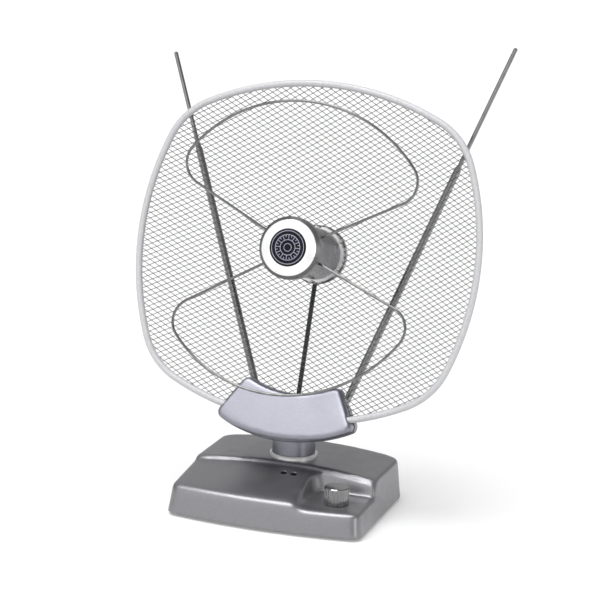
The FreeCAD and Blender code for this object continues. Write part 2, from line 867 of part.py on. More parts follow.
def make_mesh():
    """A dished lattice of crossed strands, with an opening for the hub and a cut for the saddle."""
    strand = size("mesh_strand")
    edge_inset = 2 * size("rim_wire_radius") + size("running_gap")
    border = Part.Face(rim_outline(edge_inset))
    hub_hole = Part.Face(Part.Wire(Part.makeCircle(size("flange_radius") + size("fit_gap"))))
    hub_land = Part.Face(Part.Wire(Part.makeCircle(size("flange_radius") + strand)))
    blank = border.cut([hub_hole, saddle_block(size("joint_gap"), -1, 1)])
    field = Part.Face(rim_outline(edge_inset + strand))
    field = field.cut([hub_land, saddle_block(strand, -1, 1)])
    wide = size("mesh_cell_width")
    tall = size("mesh_cell_height")
    shrink = 1 - strand * math.hypot(1 / wide, 1 / tall)
    across = Vector(wide / 2 * shrink, 0, 0)
    along = Vector(0, tall / 2 * shrink, 0)
    columns = int(size("rim_half_width") / wide) + 1
    rows = 2 * int(size("rim_half_height") / tall) + 2
    gaps = []
    for row in range(-rows, rows + 1):
        for column in range(-columns, columns + 1):
            centre = Vector((column + (row % 2) / 2) * wide, row * tall / 2, 0)
            corners = [centre + across, centre + along, centre - across, centre - along]
            gap = Part.Face(Part.makePolygon(corners + corners[:1])).common(field)
            if gap.Area > size("mesh_least_gap"):
                gaps.append(gap)
    lattice = blank.cut(gaps)
    lattice.translate(Vector(0, 0, -2 * size("dish_depth")))
    block = lattice.extrude(Vector(0, 0, 4 * size("dish_depth")))
    dish = dish_surface().toShape().extrude(Vector(0, 0, -size("mesh_thickness")))
    return block.common(dish).Solids[0]


sub_part(feature("rim", make_rim()), "reflector_rim", PANEL)
sub_part(feature("mesh", make_mesh()), "reflector_mesh", PANEL)


# Hub

hub_rear = -size("dish_depth") - size("mesh_thickness")


def cable_line():
    top = Vector(0, size("cable_top_v"), size("cable_top_n"))
    bottom = Vector(0, size("cable_bottom_v"), size("cable_bottom_n"))
    return top, bottom


def cable_bar(radius):
    top, bottom = cable_line()
    return Part.makeCylinder(radius, (bottom - top).Length, top, bottom - top)


def loop_places():
    """Where the upper and the lower loop stand: each leans forward from the hub."""
    lean = Placement(Vector(0, 0, size("loop_n")), Rotation(X_AXIS, size("loop_lean")))
    below = Placement(Vector(), Rotation(Z_AXIS, 180 + size("lower_loop_turn")))
    return [lean, below * lean]


def spoke_bars(radius, near, far):
    """Bars along the four ends of the loops, with the place and the direction of each."""
    bars = []
    for place in loop_places():
        for degrees in (size("loop_spoke_angle"), 180 - size("loop_spoke_angle")):
            bar = Part.makeCylinder(radius, far - near, polar(near, degrees), polar(1, degrees))
            bar.Placement = place * bar.Placement
            bars.append((bar, place, degrees))
    return bars


def make_hub_body():
    radius = size("hub_radius")
    bore = radius - size("hub_wall")
    flange = size("flange_radius")
    front = size("hub_front_n")
    spigot = bore + size("hub_wall") / 2
    ledge = size("balun_n")
    floor = hub_rear + size("hub_floor")
    body = turned([
        (0, hub_rear), (flange, hub_rear), (flange, hub_rear + size("flange_length")),
        (radius, hub_rear + size("flange_length")), (radius, front), (spigot, front),
        (spigot, front + size("hub_spigot")), (bore, front + size("hub_spigot")), (bore, ledge),
        (bore - size("hub_wall"), ledge), (bore - size("hub_wall"), floor), (0, floor),
    ])
    tools = [upright_cylinder(size("hub_screw_radius"), hub_rear, floor)]
    wire_hole = size("loop_wire_radius") + size("running_gap")
    tools += [bar for bar, _, _ in spoke_bars(wire_hole, bore - size("hub_wall"), 2 * radius)]
    return body.cut(tools + flange_slots())


def flange_slots():
    """Shallow notches round the flange, where the fingers of the rear cover snap in."""
    width = size("flange_slot_width")
    deep = size("flange_slot_depth")
    low = hub_rear + size("mesh_thickness") + size("fit_gap")
    count = int(size("flange_slots"))
    slots = []
    for step in range(count):
        slot = Part.makeBox(2 * deep, width, size("flange_length"))
        slot.translate(Vector(size("flange_radius") - deep, -width / 2, low))
        slot.rotate(Vector(), Z_AXIS, 360 * (step + 0.5) / count)
        slots.append(slot)
    return slots


def make_hub_cap():
    low = size("hub_front_n")
    face = low + size("cap_length")
    nose = face + size("cap_nose")
    radius = size("cap_radius")
    bevel = size("cap_bevel_radius")
    lip = size("emblem_radius") + size("fit_gap")
    spigot = size("hub_radius") - size("hub_wall") / 2 + size("fit_gap")
    rear_bevel = size("cap_rear_bevel")
    seat = nose - size("emblem_recess")
    socket_top = low + size("hub_spigot") + size("fit_gap")
    return turned([
        (spigot, low), (radius - rear_bevel, low), (radius, low + rear_bevel),
        (radius, face - size("cap_front_bevel")), (bevel, face + size("cap_shoulder")),
        (lip + size("cap_lip"), nose), (lip, nose), (lip, seat),
        (0, seat), (0, socket_top), (spigot, socket_top),
    ])


def make_emblem():
    low = size("hub_front_n") + size("cap_length") + size("cap_nose") - size("emblem_recess")
    high = low + size("emblem_recess")
    rise = size("emblem_proud")
    radius = size("emblem_radius")
    return turned([
        (0, low), (radius, low), (radius, high), (radius - 2 * rise, high + rise), (0, high + rise),
    ])


def make_back_cover():
    top = hub_rear
    low = top - size("cover_length")
    radius = size("cover_radius")
    dome = size("cover_dome")
    cover = turned([(0, top), (radius, top), (radius, low + dome), (radius - 2 * dome, low), (0, low)])
    screw = size("hub_screw_radius") + size("fit_gap")
    tools = [upright_cylinder(screw, low, top), cable_bar(size("cable_radius") + size("running_gap"))]
    return cover.cut(tools)


def screw_head(radius, height, bevel, seat):
    """A bevelled head that stands behind its seat."""
    low = seat - height
    return turned([(0, low), (radius - bevel, low), (radius, low + bevel), (radius, seat), (0, seat)])


def make_hub_screw():
    low = hub_rear - size("cover_length")
    head = screw_head(size("hub_screw_head"), size("hub_screw_head_height"), size("hub_screw_bevel"), low)
    shank = upright_cylinder(size("hub_screw_radius"), low, hub_rear + size("hub_floor"))
    return head.fuse(shank).removeSplitter()


def make_balun_board():
    radius = size("hub_radius") - size("hub_wall") - size("fit_gap")
    return upright_cylinder(radius, size("balun_n"), size("balun_n") + size("balun_thickness"))


def make_terminals():
    low = size("balun_n") + size("balun_thickness")
    side = size("terminal_side")
    blocks = []
    inner = size("loop_inner_radius")
    for bar, place, degrees in spoke_bars(size("loop_wire_radius"), inner, 2 * size("hub_radius")):
        block = Part.makeBox(side, side, size("terminal_height"), Vector(-side / 2, -side / 2, low))
        outwards = place.Rotation.multVec(polar(1, degrees))
        turn = math.degrees(math.atan2(outwards.y, outwards.x))
        block.rotate(Vector(), Z_AXIS, turn)
        block.translate(polar(inner + side / 2 - size("terminal_overhang"), turn))
        blocks.append(block.cut(bar))
    return Part.makeCompound(blocks)


sub_part(feature("hub_shell", make_hub_body()), "hub_body", PANEL)
sub_part(feature("cap", make_hub_cap()), "hub_cap", PANEL)
sub_part(feature("emblem", make_emblem()), "hub_emblem", PANEL)
sub_part(feature("cover", make_back_cover()), "hub_back_cover", PANEL)
sub_part(feature("clamp_screw", make_hub_screw()), "hub_screw", PANEL)
sub_part(feature("balun", make_balun_board()), "balun_board", PANEL)
sub_part(feature("terminals", make_terminals()), "loop_terminals", PANEL)


# Wire loops


def make_loop():
    """A sector of wire: two spokes from the hub, two corner bends and a long arc."""
    radius = size("loop_radius")
    corner = size("loop_corner")
    spoke = size("loop_spoke_angle")
    reach = radius - corner
    offset = math.degrees(math.asin(corner / reach))
    on_spoke = math.sqrt(reach ** 2 - corner ** 2)

    def half(mirror):
        def put(point):
            return Vector(-point.x if mirror else point.x, point.y, 0)

        centre = polar(reach, spoke + offset)
        first = polar(on_spoke, spoke)
        last = polar(radius, spoke + offset)
        middle = polar(corner, spoke + offset / 2 - 45, centre)
        return put(polar(size("loop_inner_radius"), spoke)), put(first), put(middle), put(last)

    start, bend, turn, rise = half(False)
    end, bend_end, turn_end, rise_end = half(True)
    path = Part.Wire([
        Part.makeLine(start, bend),
        arc(bend, turn, rise),
        arc(rise, Vector(0, radius, 0), rise_end),
        arc(rise_end, turn_end, bend_end),
        Part.makeLine(bend_end, end),
    ])
    return tube_along(path, size("loop_wire_radius"))


for loop_name, loop_place in zip(("upper_loop", "lower_loop"), loop_places()):
    sub_part(feature(loop_name + "_wire", make_loop()), loop_name, PANEL * loop_place)


# Saddle and neck

panel_inverse = PANEL.inverse()
lug_thickness = 2 * (size("tube_one_radius") + size("joint_gap"))
pod_n = size("rod_plane_n") + lug_thickness / 2 + size("joint_gap")


def in_panel(shape, placement):
    """A shape of the upright frame, seen from the reflector's own frame."""
    moved = shape.copy()
    moved.Placement = panel_inverse.multiply(placement)
    return moved


def upright_edges(solid):
    return [edge for edge in solid.Edges if max(edge.BoundBox.XLength, edge.BoundBox.YLength) < TINY]


def make_neck():
    return upright_cylinder(size("neck_radius"), neck_low, size("neck_top_z"))


def make_saddle_front():
    part_n = size("saddle_part_n")
    block = saddle_block(0, part_n, 3 * size("saddle_bottom_n"))
    block = block.makeFillet(size("saddle_corner"), upright_edges(block))
    bottom_v = size("saddle_centre_v") - size("saddle_outer_radius")
    top_v = size("saddle_centre_v") - size("saddle_inner_radius")
    lean = math.degrees(math.atan2(size("saddle_top_n") - size("saddle_bottom_n"), top_v - bottom_v))
    above = Part.makeBox(FAR, FAR, FAR, Vector(-FAR / 2, -FAR / 2, 0))
    above.Placement = Placement(Vector(0, bottom_v, size("saddle_bottom_n")), Rotation(X_AXIS, lean))
    block = block.cut(above)
    face_edges = []
    for face in block.Faces:
        if face.normalAt(0, 0).z > 0.5:
            face_edges += face.Edges
    block = block.makeFillet(size("saddle_edge_round"), face_edges).cut(below_lip())
    gap = size("fit_gap")
    wire = size("rim_wire_radius")
    groove = [make_rim(gap), rim_band(wire + gap, part_n - size("rib_root"), 0)]
    holes = []
    for x, y in saddle_screw_places():
        holes.append(upright_cylinder(size("screw_radius"), part_n, part_n + size("saddle_screw_bite"), x, y))
    return block.cut(groove + holes).removeSplitter()


def below_lip():
    """What the bevel under the saddle's front face takes off."""
    outer = size("saddle_outer_radius")
    edge_n = size("saddle_bottom_n") - size("saddle_lip")
    reach = outer / 2
    ring = turned([(outer + reach, edge_n - reach), (outer + reach, edge_n + reach), (outer - reach, edge_n + reach)])
    ring.translate(Vector(0, size("saddle_centre_v"), 0))
    return ring


def saddle_screw_places():
    centre = Vector(0, size("saddle_centre_v"), 0)
    radius = size("saddle_inner_radius") + size("saddle_screw_inset")
    places = [polar(radius, -90 + side * size("saddle_screw_angle"), centre) for side in (-1, 1)]
    return [(place.x, place.y) for place in places]


def make_saddle_rear():
    part_n = size("saddle_part_n")
    flange_n = size("saddle_flange_n")
    gap = size("fit_gap")
    flange = saddle_block(0, flange_n, part_n)
    flange = flange.makeFillet(size("saddle_corner"), upright_edges(flange))
    pod = saddle_sector(
        size("saddle_inner_radius") + size("pod_inset"), size("saddle_outer_radius") - size("pod_inset"),
        size("pod_half_angle"), pod_n, part_n,
    )
    pod = pod.makeFillet(size("pod_corner"), upright_edges(pod))
    root_n = part_n - size("rib_root")
    rib = rim_band(size("rim_wire_radius") - gap, root_n, -size("rim_wire_radius") - gap)
    rib = rib.common(saddle_block(-size("saddle_corner"), root_n, 0))
    neck = in_panel(make_neck(), swivel_spot)
    spindle = upright_cylinder(size("spindle_radius"), size("spindle_bottom_z"), size("neck_top_z"))
    bore = upright_cylinder(size("spindle_bore"), 0, size("neck_top_z") - size("neck_roof"))
    shell = flange.fuse([pod, rib, neck, in_panel(spindle, swivel_spot)])
    tools = [
        make_rim(gap),
        in_panel(bore, swivel_spot),
        cable_bar(size("cable_radius") + size("running_gap")),
        saddle_block(size("neck_radius"), part_n, FAR).cut(rib),
    ]
    for side in (-1, 1):
        x, y = side * size("rod_pivot_h"), size("rod_pivot_v")
        grip_n = pod_n + size("pivot_screw_grip")
        tools.append(upright_cylinder(size("pivot_screw_radius"), pod_n, grip_n, x, y))
    for x, y in saddle_screw_places():
        tools.append(upright_cylinder(size("screw_radius") + gap, flange_n, part_n, x, y))
        head_n = flange_n + size("screw_head_height")
        tools.append(upright_cylinder(size("screw_head_radius") + gap, -FAR, head_n, x, y))
    return shell.cut(tools).removeSplitter()


def make_saddle_screws():
    screws = []
    low = size("saddle_flange_n")
    tip = size("saddle_part_n") + size("saddle_screw_bite")
    for x, y in saddle_screw_places():
        head = upright_cylinder(size("screw_head_radius"), low, low + size("screw_head_height"), x, y)
        screws.append(head.fuse(upright_cylinder(size("screw_radius"), low, tip, x, y)).removeSplitter())
    return Part.makeCompound(screws)


sub_part(feature("front_shell", make_saddle_front()), "saddle_front", PANEL)
sub_part(feature("rear_shell", make_saddle_rear()), "saddle_rear", PANEL)
sub_part(feature("shell_screws", make_saddle_screws()), "saddle_screws", PANEL)

cable = cylinder("cable", "sizes.cable_radius", "1")
top_end, bottom_end = cable_line()
cable.setExpression(
    "Height",
    "sqrt((sizes.cable_top_v - sizes.cable_bottom_v)^2 + (sizes.cable_top_n - sizes.cable_bottom_n)^2)",
)
cable_turn = Rotation(Z_AXIS, bottom_end - top_end)
sub_part(cable, "feeder_cable", PANEL * Placement(top_end, cable_turn))


# Telescopic rods

bore_one = size("tube_one_radius") - size("tube_wall")
bore_two = size("tube_two_radius") - size("tube_wall")
bore_three = size("tube_three_radius") - size("tube_wall")


def make_knuckle():
    """A flat lug on the pivot, with a round neck that the first tube is pressed over."""
    half = lug_thickness / 2
    lug = Part.makeCylinder(size("lug_radius"), lug_thickness, Vector(0, -half, 0), Y_AXIS)
    sides = Part.makeBox(2 * size("lug_radius"), lug_thickness, size("tube_start"))
    sides.translate(Vector(-size("lug_radius"), -half, 0))
    neck = upright_cylinder(size("knuckle_radius"), 0, size("tube_start")).common(sides)
    spigot = upright_cylinder(bore_one, 0, size("knuckle_length"))
    screw_hole = size("pivot_screw_radius") + size("running_gap")
    hole = Part.makeCylinder(screw_hole, lug_thickness, Vector(0, -half, 0), Y_AXIS)
    return lug.fuse([neck, spigot]).cut(hole).removeSplitter()


def make_tube(radius, bore, low, high, guide):
    """A drawn tube with a rolled-in mouth that guides the next section."""
    mouth = high - size("crimp_length")
    return turned([
        (bore, low), (radius, low), (radius, mouth), (radius - size("tube_wall") / 3, high),
        (guide, high), (guide, mouth), (bore, mouth),
    ])


def make_section(radius, bore, outer_bore, length, guide):
    """An inner section: a flared foot that runs in the tube outside it, and a rolled-in mouth."""
    foot = size("flare_length")
    mouth = length - size("crimp_length")
    return turned([
        (bore, 0), (outer_bore - size("running_gap"), 0), (outer_bore - size("running_gap"), foot),
        (radius, foot), (radius, mouth), (radius - size("tube_wall") / 3, length),
        (guide, length), (guide, mouth), (bore, mouth),
    ])


def make_last_section():
    foot = size("flare_length")
    length = size("section_length")
    radius = size("tube_four_radius")
    wide = bore_three - size("running_gap")
    tip = size("tip_radius")
    bevel = size("tip_bevel")
    end = length + size("tip_length")
    return turned([
        (0, 0), (wide, 0), (wide, foot), (radius, foot), (radius, length), (tip, length),
        (tip, end - bevel), (tip - bevel, end), (0, end),
    ])


def make_pivot_screw():
    seat = size("rod_plane_n") - lug_thickness / 2 - size("joint_gap")
    head = screw_head(size("pivot_head_radius"), size("pivot_head_height"), size("pivot_head_bevel"), seat)
    shank = upright_cylinder(size("pivot_screw_radius"), seat, pod_n + size("pivot_screw_grip"))
    return head.fuse(shank).removeSplitter()


def make_rod(side_name, side, lean, reach):
    running = size("running_gap")
    pivot = Vector(side * size("rod_pivot_h"), size("rod_pivot_v"), size("rod_plane_n"))
    upright = Placement(Vector(), Rotation(X_AXIS, -90))
    frame = PANEL * Placement(pivot, Rotation(Z_AXIS, -side * lean)) * upright
    show = size("section_show")
    second_top = size("tube_end") + show
    third_top = size("tube_end") + reach - size("tip_length")
    length = size("section_length")
    pieces = {
        "knuckle": (make_knuckle(), 0),
        "tube_one": (make_tube(
            size("tube_one_radius"), bore_one, size("tube_start"), size("tube_end"),
            size("tube_two_radius") + running), 0),
        "tube_two": (make_section(
            size("tube_two_radius"), bore_two, bore_one, length, size("tube_three_radius") + running),
            second_top - length),
        "tube_three": (make_section(
            size("tube_three_radius"), bore_three, bore_two, length, size("tube_four_radius") + running),
            third_top - length),
        "tube_four": (make_last_section(), third_top + running - length),
    }
    for piece_name, (shape, along) in pieces.items():
        place = frame * Placement(Vector(0, 0, along), Rotation())
        sub_part(feature(side_name + "_" + piece_name + "_body", shape), side_name + "_" + piece_name, place)
    screw_place = PANEL * Placement(Vector(pivot.x, pivot.y, 0), Rotation())
    sub_part(feature(side_name + "_screw_body", make_pivot_screw()), side_name + "_pivot_screw", screw_place)


make_rod("left", -1, size("rod_left_angle"), size("rod_left_reach"))
make_rod("right", 1, size("rod_right_angle"), size("rod_right_reach"))


doc.recompute()
for item in doc.Objects:
    if "Invalid" in item.State or "Error" in item.State:
        raise RuntimeError(item.Label + " could not be built")
for item in parts:
    if item.Shape.isNull() or not item.Shape.isValid():
        raise RuntimeError(item.Label + " has no valid shape")
os.makedirs("parts", exist_ok=True)
for item in parts:
    item.Shape.exportStep("parts/%s.step" % item.Label)
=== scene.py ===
"""Looks of the indoor TV antenna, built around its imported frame: metres, +Z up, front towards -Y."""

import math

import bpy
import numpy as np
from mathutils import Matrix, Vector


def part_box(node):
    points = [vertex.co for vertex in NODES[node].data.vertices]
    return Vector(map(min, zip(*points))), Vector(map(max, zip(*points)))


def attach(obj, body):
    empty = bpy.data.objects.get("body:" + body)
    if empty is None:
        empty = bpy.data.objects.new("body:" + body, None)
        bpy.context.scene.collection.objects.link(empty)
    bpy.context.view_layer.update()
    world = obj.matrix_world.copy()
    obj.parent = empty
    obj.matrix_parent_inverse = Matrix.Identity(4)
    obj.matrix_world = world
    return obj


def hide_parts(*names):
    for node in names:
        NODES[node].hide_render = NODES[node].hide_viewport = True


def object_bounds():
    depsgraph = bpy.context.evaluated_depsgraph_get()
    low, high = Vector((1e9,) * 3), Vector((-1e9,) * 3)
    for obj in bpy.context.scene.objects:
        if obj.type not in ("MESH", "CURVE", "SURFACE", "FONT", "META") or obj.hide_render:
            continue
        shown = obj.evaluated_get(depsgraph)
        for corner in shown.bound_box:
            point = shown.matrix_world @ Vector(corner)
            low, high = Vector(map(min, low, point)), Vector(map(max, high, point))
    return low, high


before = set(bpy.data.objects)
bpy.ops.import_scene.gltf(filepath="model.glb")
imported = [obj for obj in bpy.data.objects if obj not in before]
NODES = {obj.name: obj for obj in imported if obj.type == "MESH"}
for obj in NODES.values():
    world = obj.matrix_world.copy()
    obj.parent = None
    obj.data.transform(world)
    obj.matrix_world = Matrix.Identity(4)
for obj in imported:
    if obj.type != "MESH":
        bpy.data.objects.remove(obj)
cad_low, cad_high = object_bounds()

MM = 0.001
SCENE = bpy.context.scene

# The reflector's own axes: h to the right, v up along the dish, n out of its front

PANEL_TILT = math.radians(15)
rim_low, rim_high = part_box("reflector_rim")
PANEL_ORIGIN = (rim_low + rim_high) / 2
PANEL = Matrix.Translation(PANEL_ORIGIN) @ Matrix.Rotation(math.radians(90) - PANEL_TILT, 4, "X")
OUT_OF_PANEL = np.array([0.0, 0.0, 1.0])

# Rim wire and dish, as the solids have them

RIM_HALF_WIDTH = (rim_high.x - rim_low.x) / 2
RIM_HALF_HEIGHT = 145.5 * MM
RIM_SIDE_ARC = 238.4 * MM
RIM_TOP_ARC = 239.2 * MM
RIM_CORNER_ARC = 64.0 * MM
RIM_WIRE_RADIUS = 2.9 * MM
DISH_DEPTH = 34.0 * MM
DISH_CORNER_LIFT = 0.825
SHEET_THICKNESS = 1.2 * MM
HUB_RADIUS = 22.5 * MM

# Hub: lines out of the reflector's plane where its colour changes between painted highlight and painted
# shade

FLANGE_FRONT = -30.0 * MM
CAP_FACE_EDGE = 48.5 * MM
# How far the painted highlight blends into the painted shade, out of the reflector's plane
LIGHT_SHADE_STEP = 0.1 * MM

# Woven wire of the reflector

STRAND_STEP_H = 4.0 * MM
STRAND_STEP_V = 2.36 * MM
STRAND_RADIUS = 0.32 * MM
STRAND_SIDES = 5
WEAVE_RISE = 0.26 * MM

# Saddle that holds the lower edge of the mesh

SADDLE_CENTRE_V = -38.0 * MM
SADDLE_INNER_RADIUS = 82.0 * MM
SADDLE_HALF_ANGLE = math.radians(30)
SADDLE_GRIP = 2.0 * MM


def link(name, vertices, faces, smooth=True):
    """A new mesh object in the scene, from its points and faces."""
    mesh = bpy.data.meshes.new(name)
    mesh.from_pydata([tuple(v) for v in vertices], [], faces)
    mesh.validate()
    if smooth:
        mesh.shade_smooth()
    piece = bpy.data.objects.new(name, mesh)
    SCENE.collection.objects.link(piece)
    return piece


# Materials

GLOSS_GRAIN = 12.0 * MM
HUB_SKIN = (0.8 * MM, 0.006 * MM)


def new_material(name):
    """A node material and its shader."""
    material = bpy.data.materials.new(name)
    material.use_nodes = True
    return material, material.node_tree.nodes["Principled BSDF"]


def set_sockets(shader, **values):
    """Sets sockets that are the same all over the surface; an underscore stands for a space in a name."""
    for key, value in values.items():
        shader.inputs[key.replace("_", " ")].default_value = value


def grey(level, blue=0.0):
    """A grey, with its blue raised by a share."""
    return (level, level, level * (1 + blue), 1)


def noise(material, grain, detail=2.0):
    """Noise whose features are about one grain across, in metres."""
    tree = material.node_tree
    place = tree.nodes.new("ShaderNodeTexCoord")
    texture = tree.nodes.new("ShaderNodeTexNoise")
    texture.inputs["Scale"].default_value = 1 / grain
    texture.inputs["Detail"].default_value = detail
    tree.links.new(place.outputs["Object"], texture.inputs["Vector"])
    return texture.outputs["Fac"]


def spread(material, factor, socket, low, high, start=0.3, end=0.7):
    """Drives a shader's socket from low to high while a factor runs from start to end."""
    tree = material.node_tree
    ramp = tree.nodes.new("ShaderNodeMapRange")
    ramp.inputs["From Min"].default_value = start
    ramp.inputs["From Max"].default_value = end
    tree.links.new(factor, ramp.inputs["Value"])
    if not isinstance(low, tuple):
        ramp.inputs["To Min"].default_value = low
        ramp.inputs["To Max"].default_value = high
        tree.links.new(ramp.outputs["Result"], socket)
        return
    tint = tree.nodes.new("ShaderNodeMix")
    tint.data_type = "RGBA"
    colours = [item for item in tint.inputs if item.type == "RGBA"]
    colours[0].default_value = low
    colours[1].default_value = high
    tree.links.new(ramp.outputs["Result"], tint.inputs["Factor"])
    result = [item for item in tint.outputs if item.type == "RGBA"][0]
    tree.links.new(result, socket)


def relief(material, shader, grain, depth):
    """Bumps that are about one grain across and as deep as given, in metres."""
    tree = material.node_tree
    bump = tree.nodes.new("ShaderNodeBump")
    bump.inputs["Distance"].default_value = depth
    tree.links.new(noise(material, grain), bump.inputs["Height"])
    tree.links.new(bump.outputs["Normal"], shader.inputs["Normal"])


def finish(name, low, high, grain, roughness, skin=None, **sockets):
    """A finish whose colour runs from low to high over its grain, with uneven gloss and a skin of bumps."""
    material, shader = new_material(name)
    spread(material, noise(material, grain), shader.inputs["Base Color"], low, high)
    spread(material, noise(material, GLOSS_GRAIN), shader.inputs["Roughness"], *roughness)
    set_sockets(shader, **sockets)
    if skin:
        relief(material, shader, *skin)
    return material


def over_panel(material):
    """How far a point lies in front of the reflector's plane, in metres."""
    tree = material.node_tree
    normal = PANEL.to_3x3() @ Vector((0, 0, 1))
    place = tree.nodes.new("ShaderNodeTexCoord")
    along = tree.nodes.new("ShaderNodeVectorMath")
    along.operation = "DOT_PRODUCT"
    along.inputs[1].default_value = normal
    tree.links.new(place.outputs["Object"], along.inputs[0])
    rise = tree.nodes.new("ShaderNodeMath")
    rise.operation = "SUBTRACT"
    rise.inputs[1].default_value = normal.dot(PANEL_ORIGIN)
    tree.links.new(along.outputs["Value"], rise.inputs[0])
    return rise.outputs["Value"]


def hub_highlight_and_shade(name, edge, below, above, roughness, metallic):
    """Hub metal with a painted highlight and a painted shade, whose colour changes at a line out of the
    reflector's plane.
    """
    material, shader = new_material(name)
    set_sockets(shader, Metallic=metallic)
    height = over_panel(material)
    spread(material, height, shader.inputs["Base Color"], below, above, edge, edge + LIGHT_SHADE_STEP)
    spread(material, noise(material, GLOSS_GRAIN), shader.inputs["Roughness"], *roughness)
    relief(material, shader, *HUB_SKIN)
    return material


FINISHES = {
    "base_paint": finish(
        "base_paint", grey(0.245, 0.05), grey(0.275, 0.05), 1.2 * MM, (0.31, 0.38),
        skin=(3.0 * MM, 0.004 * MM), Metallic=0.8,
    ),
    "saddle_paint": finish(
        "saddle_paint", grey(0.240, 0.15), grey(0.265, 0.15), 1.2 * MM, (0.31, 0.38),
        skin=(3.0 * MM, 0.004 * MM), Metallic=0.85,
    ),
    "hub_paint": finish(
        "hub_paint", grey(0.30, 0.02), grey(0.38, 0.02), 0.5 * MM, (0.14, 0.22),
        skin=HUB_SKIN, Metallic=0.9,
    ),
    "rim_coat": finish(
        "rim_coat", grey(0.54, 0.03), grey(0.62, 0.03), 2.0 * MM, (0.44, 0.54),
        skin=(1.5 * MM, 0.03 * MM), Metallic=0.2, Specular_IOR_Level=0.3,
    ),
    "mesh_wire": finish(
        "mesh_wire", grey(0.05), grey(0.12), 5.0 * MM, (0.22, 0.34), Metallic=0.9,
    ),
    "chrome": finish(
        "chrome", grey(0.23, 0.01), grey(0.30, 0.01), 6.0 * MM, (0.08, 0.13), Metallic=1.0,
    ),
    "black_plastic": finish(
        "black_plastic", grey(0.020, 0.05), grey(0.032, 0.05), 0.8 * MM, (0.38, 0.50),
        skin=(0.6 * MM, 0.02 * MM),
    ),
    "emblem": finish(
        "emblem", grey(0.004, 0.6), grey(0.008, 0.6), 3.0 * MM, (0.35, 0.45), Specular_IOR_Level=0.15,
    ),
    "cable": finish(
        "cable", grey(0.012), grey(0.022), 1.2 * MM, (0.42, 0.55), skin=(0.7 * MM, 0.03 * MM),
    ),
    "foot_rubber": finish(
        "foot_rubber", grey(0.022), grey(0.035), 0.6 * MM, (0.70, 0.85), skin=(0.4 * MM, 0.05 * MM),
    ),
    "board": finish(
        "board", (0.015, 0.10, 0.035, 1), (0.025, 0.16, 0.055, 1), 1.5 * MM, (0.30, 0.42),
        skin=(0.5 * MM, 0.01 * MM),
    ),
    "screw_steel": finish(
        "screw_steel", grey(0.38, 0.02), grey(0.50, 0.02), 1.0 * MM, (0.26, 0.40), Metallic=1.0,
    ),
    "brass": finish(
        "brass", (0.52, 0.36, 0.12, 1), (0.62, 0.46, 0.18, 1), 1.5 * MM, (0.24, 0.36), Metallic=1.0,
    ),
    "lamp": finish(
        "lamp", (0.006, 0.003, 0.003, 1), (0.010, 0.005, 0.005, 1), 1.5 * MM, (0.30, 0.38),
        Specular_IOR_Level=0.1,
    ),
}

LOOP_WIRE = finish("loop_wire", grey(0.16), grey(0.24), 6.0 * MM, (0.10, 0.16), Metallic=1.0)

NODE_FINISHES = {
    # Painted light on the hub: the cap's white face is a painted highlight and its dark side painted shade;
    # the body's white flange is a painted highlight and its near-black barrel painted shade
    "hub_cap": hub_highlight_and_shade("cap_painted_highlight_and_shade", CAP_FACE_EDGE, grey(0.12), grey(0.92), (0.24, 0.32), 0.55),
    "hub_body": hub_highlight_and_shade("barrel_painted_shade_and_highlight", FLANGE_FRONT, grey(0.94), grey(0.09, 0.14), (0.24, 0.34), 0.6),
    "swivel_ring": finish("ring_metal", grey(0.80), grey(0.88), 1.0 * MM, (0.20, 0.28), Metallic=0.4),
    "gain_knob": finish("knob_metal", grey(0.22), grey(0.28), 0.8 * MM, (0.08, 0.14), Metallic=0.95),
    "upper_loop": LOOP_WIRE,
    "lower_loop": LOOP_WIRE,
}


def dress_nodes():
    """Gives each solid its own finish, or that of the record's slot that it came with."""
    for name, node in NODES.items():
        for slot in node.material_slots:
            slot.material = NODE_FINISHES.get(name) or FINISHES[slot.material.name]


# Reflector mesh


def rim_excess(h, v):
    """How far points lie outside the rim wire's centre line; less than zero inside."""
    across, up = np.abs(h), np.abs(v)
    side = RIM_SIDE_ARC - RIM_WIRE_RADIUS
    top = RIM_TOP_ARC - RIM_WIRE_RADIUS
    corner = RIM_CORNER_ARC - RIM_WIRE_RADIUS
    side_centre = np.array([RIM_HALF_WIDTH - RIM_SIDE_ARC, 0.0])
    top_centre = np.array([0.0, RIM_HALF_HEIGHT - RIM_TOP_ARC])
    apart = top_centre - side_centre
    reach = np.hypot(*apart)
    along = (reach ** 2 + (side - corner) ** 2 - (top - corner) ** 2) / (2 * reach)
    off = math.sqrt((side - corner) ** 2 - along ** 2)
    line = apart / reach
    centre = side_centre + line * along + np.array([-line[1], line[0]]) * off
    from_corner = np.hypot(across - centre[0], up - centre[1]) - corner
    from_side = np.hypot(across - side_centre[0], up) - side
    from_top = np.hypot(across, up - top_centre[1]) - top
    low_ray, high_ray = centre - side_centre, centre - top_centre
    above_low = low_ray[0] * (up - centre[1]) - low_ray[1] * (across - centre[0]) > 0
    below_high = high_ray[0] * (up - centre[1]) - high_ray[1] * (across - centre[0]) < 0
    in_corner = above_low & below_high
    return np.where(in_corner, from_corner, np.maximum(from_side, from_top))


def saddle_excess(h, v):
    """How far points lie outside the saddle's sector; less than zero where it covers the mesh."""
    up = v - SADDLE_CENTRE_V
    radius = np.hypot(h, up)
    angle = np.abs(np.arctan2(h, -up))
    past_end = radius * np.sin(np.clip(angle - SADDLE_HALF_ANGLE, -math.pi / 2, math.pi / 2))
    return np.maximum(SADDLE_INNER_RADIUS - radius, past_end) + SADDLE_GRIP


def mesh_excess(h, v):
    """Less than zero where the mesh shows: inside the rim, clear of the hub and the saddle."""
    return np.maximum(rim_excess(h, v), np.maximum(HUB_RADIUS - np.hypot(h, v), -saddle_excess(h, v)))


